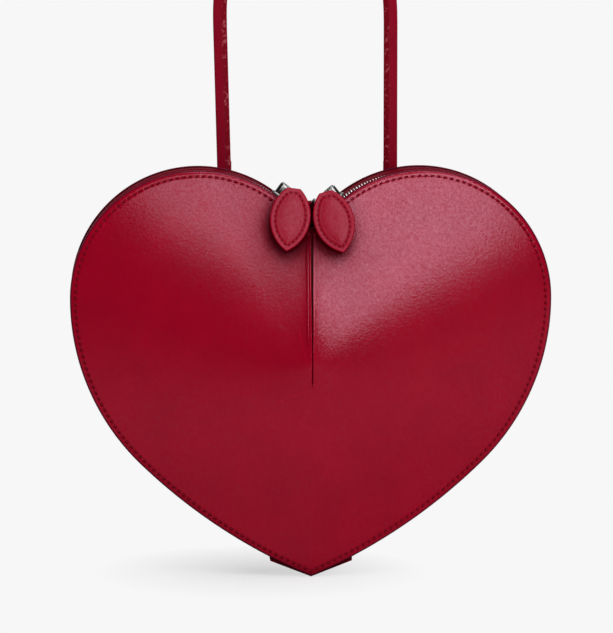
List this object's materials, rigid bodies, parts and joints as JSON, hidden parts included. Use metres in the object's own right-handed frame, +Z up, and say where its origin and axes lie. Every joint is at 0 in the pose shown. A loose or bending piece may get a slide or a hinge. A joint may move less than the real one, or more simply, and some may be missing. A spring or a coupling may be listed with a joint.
{
  "type": "heart shaped purse",
  "caption": "Heart-shaped leather shoulder purse: domed darted panels on a zipped gusset, twin sliders with leaf pulls, hung on a narrow strap.",
  "frame": {"origin": "under the top of the strap's arch, where the purse hangs", "axes": "+Z up, +X across the heart to the wearer's left as seen from the front, +Y from the front panel to the back panel"},
  "size_m": [0.24, 0.0641, 0.3295],
  "materials": {
    "panel_leather": "satin smooth calf, red",
    "gusset_leather": "satin smooth calf, red",
    "strap_leather": "satin smooth calf, red",
    "pull_leather": "satin smooth calf, red",
    "board": "bonded leather board",
    "lining": "woven lining, red",
    "filler": "felt",
    "zip_tape": "woven tape, red",
    "steel": "polished"
  },
  "bodies": {
    "strap": {"strap": "strap_leather", "strap_rivets": "steel"},
    "bag": {"front_panel": "panel_leather", "back_panel": "panel_leather", "front_dart_strip": "panel_leather", "back_dart_strip": "panel_leather", "front_board": "board", "back_board": "board", "front_lining": "lining", "back_lining": "lining", "inner_pocket": "lining", "bottom_gusset": "gusset_leather", "gusset_lining": "lining", "tip_patch": "gusset_leather", "front_zip_facing": "gusset_leather", "rear_zip_facing": "gusset_leather", "front_zip_tape": "zip_tape", "rear_zip_tape": "zip_tape", "front_zip_teeth": "steel", "rear_zip_teeth": "steel", "zip_stops": "steel", "strap_tab_rivets": "steel", "left_zip_end_tab": "gusset_leather", "right_zip_end_tab": "gusset_leather", "left_strap_tab": "strap_leather", "right_strap_tab": "strap_leather", "left_strap_ring": "steel", "right_strap_ring": "steel"},
    "left_slider": {"left_slider": "steel"},
    "left_swivel": {"left_pull_swivel": "steel"},
    "left_leaf": {"left_leaf_front": "pull_leather", "left_leaf_filler": "filler", "left_leaf_back": "pull_leather"},
    "right_slider": {"right_slider": "steel"},
    "right_swivel": {"right_pull_swivel": "steel"},
    "right_leaf": {"right_leaf_front": "pull_leather", "right_leaf_filler": "filler", "right_leaf_back": "pull_leather"}
  },
  "joints": [
    {"name": "bag_swing", "type": "hinge", "parent": "strap", "child": "bag", "pos_m": [0, 0, -0.1296], "axis": [1, 0, 0], "range_deg": [-10, 120]},
    {"name": "left_zip_travel", "type": "hinge", "parent": "bag", "child": "left_slider", "pos_m": [-0.0558, -0.02386, -0.1823], "axis": [0, -1, 0], "range_deg": [0, 103]},
    {"name": "left_pull_turn", "type": "hinge", "parent": "left_slider", "child": "left_swivel", "pos_m": [-0.0095, -0.02386, -0.13054], "axis": [0, 1, 0], "range_deg": [0, 105]},
    {"name": "left_leaf_lift", "type": "hinge", "parent": "left_swivel", "child": "left_leaf", "pos_m": [-0.0095, -0.04906, -0.13054], "axis": [-0.9912, 0, 0.1323], "range_deg": [0, 75]},
    {"name": "right_zip_travel", "type": "hinge", "parent": "bag", "child": "right_slider", "pos_m": [0.0558, -0.02386, -0.1823], "axis": [0, 1, 0], "range_deg": [0, 105]},
    {"name": "right_pull_turn", "type": "hinge", "parent": "right_slider", "child": "right_swivel", "pos_m": [0.0077, -0.02386, -0.1322], "axis": [0, -1, 0], "range_deg": [0, 105]},
    {"name": "right_leaf_lift", "type": "hinge", "parent": "right_swivel", "child": "right_leaf", "pos_m": [0.0077, -0.04906, -0.1322], "axis": [-0.9593, 0, -0.2823], "range_deg": [0, 75]}
  ]
}
